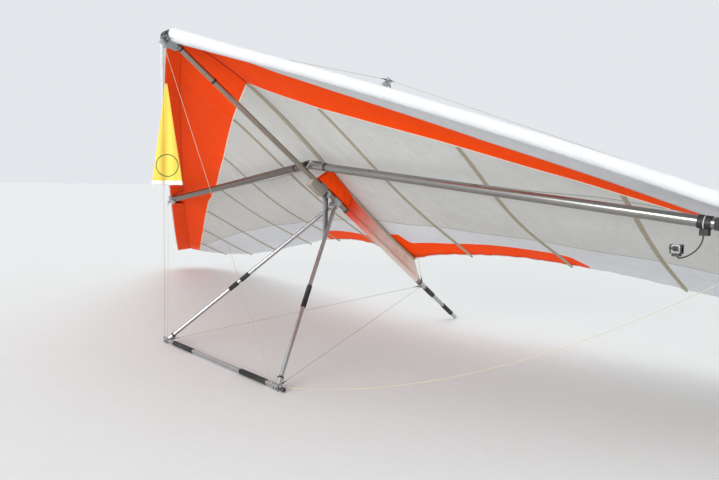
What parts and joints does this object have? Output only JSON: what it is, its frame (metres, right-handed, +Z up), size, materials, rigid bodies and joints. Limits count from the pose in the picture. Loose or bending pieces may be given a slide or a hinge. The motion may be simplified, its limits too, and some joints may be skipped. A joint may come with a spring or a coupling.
{
  "type": "hang glider",
  "caption": "Kingposted single-surface hang glider parked nose up, with a folding control frame, unclipping nose wires, swinging hang loops, white and orange sail.",
  "frame": {"origin": "on the ground, under the middle of the glider's box, in the plane of the keel", "axes": "+Z up, +X towards the left wing tip, -Y towards the nose"},
  "size_m": [10.5066, 3.176, 2.3506],
  "materials": {
    "anodised_tube": "satin",
    "bright_metal": "polished",
    "dark_plate": "satin",
    "black_plastic": "satin",
    "black_foam": "matt",
    "steel_wire": "satin",
    "white_cloth": "matt",
    "orange_cloth": "matt",
    "webbing": "matt",
    "grey_box": "matt",
    "pennant_cloth": "matt",
    "camera_case": "gloss"
  },
  "bodies": {
    "airframe": {"apex_bracket": "bright_metal", "camera": "camera_case", "camera_arm": "black_plastic", "camera_clamp": "black_plastic", "camera_foot": "black_plastic", "crossbar_bracket_left": "bright_metal", "crossbar_bracket_right": "bright_metal", "crossbar_hinge": "bright_metal", "crossbar_left": "anodised_tube", "crossbar_right": "anodised_tube", "edge_cap_left": "black_plastic", "edge_cap_right": "black_plastic", "edge_pocket_left": "white_cloth", "edge_pocket_right": "white_cloth", "hang_bracket": "bright_metal", "keel_box": "grey_box", "keel_pocket": "orange_cloth", "keel_rear_sleeve": "black_plastic", "keel_tube": "anodised_tube", "kingpost": "anodised_tube", "kingpost_base": "dark_plate", "kingpost_cap": "black_plastic", "leading_edge_front_left": "anodised_tube", "leading_edge_front_right": "anodised_tube", "leading_edge_rear_left": "anodised_tube", "leading_edge_rear_right": "anodised_tube", "nose_plate_lower": "dark_plate", "nose_plate_upper": "dark_plate", "nose_sleeve": "dark_plate", "pennant": "pennant_cloth", "rear_tang": "bright_metal", "rear_wire_left": "steel_wire", "rear_wire_right": "steel_wire", "sail_left": "white_cloth", "sail_right": "white_cloth", "side_wire_left": "steel_wire", "side_wire_right": "steel_wire", "tail_plug": "bright_metal", "tail_sleeve": "black_plastic", "tail_tube": "bright_metal", "top_front_wire": "steel_wire", "top_rear_wire": "steel_wire", "top_side_wire_left": "steel_wire", "top_side_wire_right": "steel_wire"},
    "control_frame": {"apex_knuckle": "bright_metal", "base_bar": "bright_metal", "base_bar_grip_left": "black_foam", "base_bar_grip_right": "black_foam", "corner_left": "bright_metal", "corner_right": "bright_metal", "downtube_grip_left": "black_foam", "downtube_grip_right": "black_foam", "downtube_left": "anodised_tube", "downtube_right": "anodised_tube"},
    "nose_wires": {"nose_catch": "bright_metal", "nose_wire_left": "steel_wire", "nose_wire_right": "steel_wire"},
    "main_loop": {"hang_loop_main": "webbing"},
    "backup_loop": {"hang_loop_backup": "webbing"}
  },
  "joints": [
    {"name": "control_frame_fold", "type": "hinge", "parent": "airframe", "child": "control_frame", "pos_m": [0, -0.09962, 1.13471], "axis": [1, 0, 0], "range_deg": [0, 92], "deforming": ["rear_wire_left", "rear_wire_right", "side_wire_left", "side_wire_right"]},
    {"name": "nose_wire_fold", "type": "hinge", "parent": "control_frame", "child": "nose_wires", "pos_m": [0, -1.22418, 0.05355], "axis": [1, 0, 0], "range_deg": [-46.6, 0]},
    {"name": "main_loop_swing", "type": "hinge", "parent": "airframe", "child": "main_loop", "pos_m": [0, -0.17802, 1.22638], "axis": [1, 0, 0], "range_deg": [-55, 15]},
    {"name": "backup_loop_swing", "type": "hinge", "parent": "airframe", "child": "backup_loop", "pos_m": [0, -0.17802, 1.22638], "axis": [1, 0, 0], "range_deg": [-55, 15]}
  ],
  "couplings": [
    {"joint": "nose_wire_fold", "follows": "control_frame_fold", "ratio": -0.5065}
  ]
}
